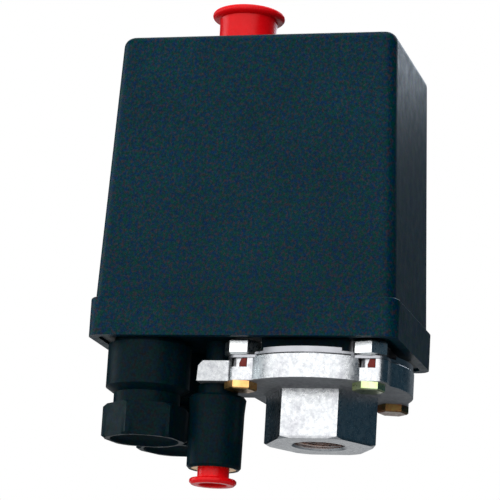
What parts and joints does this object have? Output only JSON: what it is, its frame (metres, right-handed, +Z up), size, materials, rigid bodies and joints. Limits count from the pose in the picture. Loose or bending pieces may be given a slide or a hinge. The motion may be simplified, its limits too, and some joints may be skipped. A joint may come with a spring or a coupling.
{
  "type": "pressure switch",
  "caption": "Air compressor pressure switch with a push-pull knob, a hexagon pressure port, cable glands and an unloader valve.",
  "frame": {"origin": "centre of the pressure port's mouth, at the bottom face of the hexagon", "axes": "+Z up along the port into the switch, -Y towards the front of the cover, -X towards the cable glands"},
  "size_m": [0.0697, 0.0414, 0.1115],
  "materials": {
    "black_abs": "fine textured satin",
    "black_nylon": "satin",
    "red_plastic": "glossy",
    "zinc": "die-cast, bright tumbled",
    "passivated_steel": "yellow passivated",
    "white_zinc": "bright zinc plated",
    "steel": "zinc plated sheet",
    "spring_steel": "drawn wire",
    "brass": "machined",
    "silver": "contact silver",
    "diaphragm_rubber": "red-brown rubber",
    "black_rubber": "black rubber",
    "phenolic": "moulded phenolic",
    "ivory_plastic": "moulded nylon"
  },
  "bodies": {
    "housing": {"cover": "black_abs", "cover_pillar": "white_zinc", "cover_screw": "white_zinc", "pressure_flange": "zinc", "flange_screws": "passivated_steel", "flange_nuts": "white_zinc", "diaphragm": "diaphragm_rubber", "frame_bracket": "steel", "spring_bridge": "steel", "lever_pin": "steel", "lever_clip": "spring_steel", "earth_screw": "brass", "base": "black_nylon", "base_screws": "white_zinc", "gland_nut_front": "black_nylon", "gland_nut_rear": "black_nylon", "gland_seals": "black_rubber", "gland_washers": "steel", "unloader_body": "black_nylon", "unloader_ring": "brass", "grab_ring": "spring_steel", "tube_o_ring": "black_rubber", "terminal_block": "phenolic", "terminal_strips": "brass", "terminal_screws": "white_zinc", "fixed_contacts": "silver", "contact_cover": "phenolic"},
    "knob": {"knob": "red_plastic", "knob_rod": "steel"},
    "collar": {"release_collar": "red_plastic"},
    "lever": {"main_lever": "steel", "spring_seat": "steel"},
    "piston": {"piston": "zinc"},
    "carriage": {"contact_carriage": "ivory_plastic", "contact_bridges": "brass", "moving_contacts": "silver", "contact_springs": "spring_steel"},
    "valve_pin": {"unloader_pin": "spring_steel", "unloader_spring": "spring_steel"},
    "range_screw": {"range_screw": "white_zinc"},
    "spring_plate": {"spring_plate": "steel", "range_spring": "spring_steel"}
  },
  "joints": [
    {"name": "knob_slide", "type": "slide", "parent": "housing", "child": "knob", "axis": [0, 0, 1], "range_m": [-0.0075, 0]},
    {"name": "collar_slide", "type": "slide", "parent": "housing", "child": "collar", "axis": [0, 0, 1], "range_m": [0, 0.0015], "stiffness_N_per_m": 200, "springref_m": -0.0015},
    {"name": "lever_pivot", "type": "hinge", "parent": "housing", "child": "lever", "pos_m": [0.012, 0, 0.0275], "axis": [0, 1, 0], "range_deg": [0, 3], "stiffness_Nm_per_rad": 0.6, "springref_deg": -4.58},
    {"name": "piston_slide", "type": "slide", "parent": "housing", "child": "piston", "axis": [0, 0, 1], "range_m": [0, 0.00065]},
    {"name": "carriage_slide", "type": "slide", "parent": "housing", "child": "carriage", "axis": [0, 0, 1], "range_m": [0, 0.0021]},
    {"name": "valve_pin_slide", "type": "slide", "parent": "housing", "child": "valve_pin", "axis": [0, 0, 1], "range_m": [0, 0.0018], "deforming": ["unloader_spring"]},
    {"name": "range_screw_turn", "type": "hinge", "parent": "housing", "child": "range_screw", "pos_m": [0, 0, 0.0595], "axis": [0, 0, 1], "range_deg": [-1080, 1080]},
    {"name": "spring_plate_slide", "type": "slide", "parent": "housing", "child": "spring_plate", "axis": [0, 0, 1], "range_m": [-0.0031, 0.0031], "deforming": ["range_spring"]}
  ],
  "couplings": [
    {"joint": "piston_slide", "follows": "lever_pivot", "m_per_rad": 0.012},
    {"joint": "carriage_slide", "follows": "lever_pivot", "m_per_rad": 0.0385},
    {"joint": "valve_pin_slide", "follows": "lever_pivot", "m_per_rad": 0.0335},
    {"joint": "spring_plate_slide", "follows": "range_screw_turn", "m_per_rad": -0.00015915}
  ]
}
